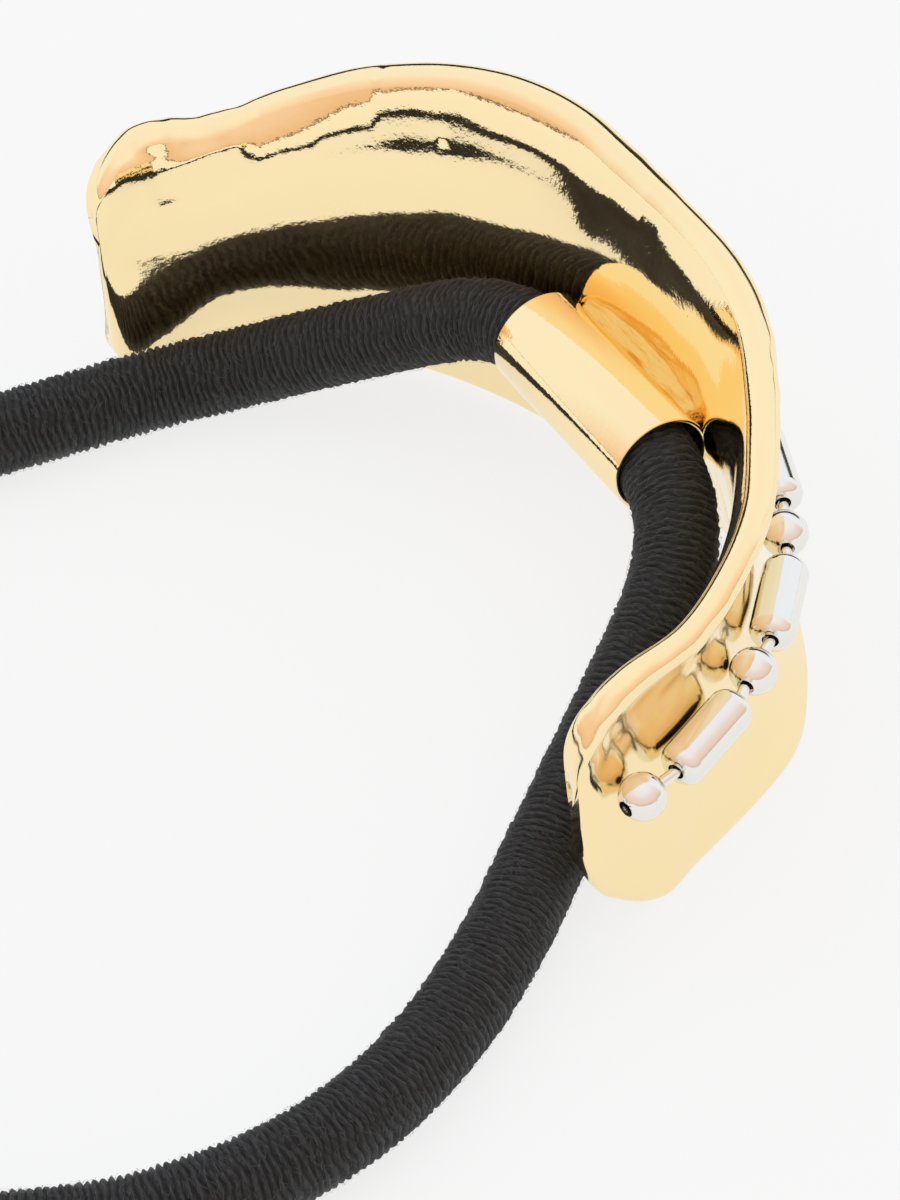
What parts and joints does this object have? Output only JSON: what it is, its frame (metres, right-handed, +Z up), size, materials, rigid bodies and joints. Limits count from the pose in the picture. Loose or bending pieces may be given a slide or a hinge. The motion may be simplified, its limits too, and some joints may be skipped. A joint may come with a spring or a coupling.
{
  "type": "hair tie",
  "caption": "Curved cast metal hair cuff with a ball-and-bar chain across its outer face, on a loop of thick wound elastic that runs through a soldered sleeve.",
  "frame": {"origin": "bottom centre of the box round the cuff and its chain, on the surface that the cuff's lower edge stands on", "axes": "+X along the cuff and its sleeve, +Y from the cuff towards the elastic's loop, so the outer face with the chain looks to -Y, +Z up"},
  "size_m": [0.0582, 0.0722, 0.0196],
  "materials": {
    "gold": "polished yellow-gold plating over cast brass",
    "steel": "polished, silver-toned",
    "elastic": "matte wound yarn over a rubber core"
  },
  "bodies": {
    "root": {"cuff": "gold", "elastic": "elastic", "ball_1": "steel", "ball_2": "steel", "ball_3": "steel", "ball_4": "steel", "ball_5": "steel", "ball_6": "steel", "ball_7": "steel", "ball_8": "steel", "barrel_1": "steel", "barrel_2": "steel", "barrel_3": "steel", "barrel_4": "steel", "barrel_5": "steel", "barrel_6": "steel", "barrel_7": "steel", "pin_1": "steel", "pin_2": "steel", "pin_3": "steel", "pin_4": "steel", "pin_5": "steel", "pin_6": "steel", "pin_7": "steel", "pin_8": "steel", "pin_9": "steel", "pin_10": "steel", "pin_11": "steel", "pin_12": "steel", "pin_13": "steel", "pin_14": "steel"}
  },
  "joints": []
}
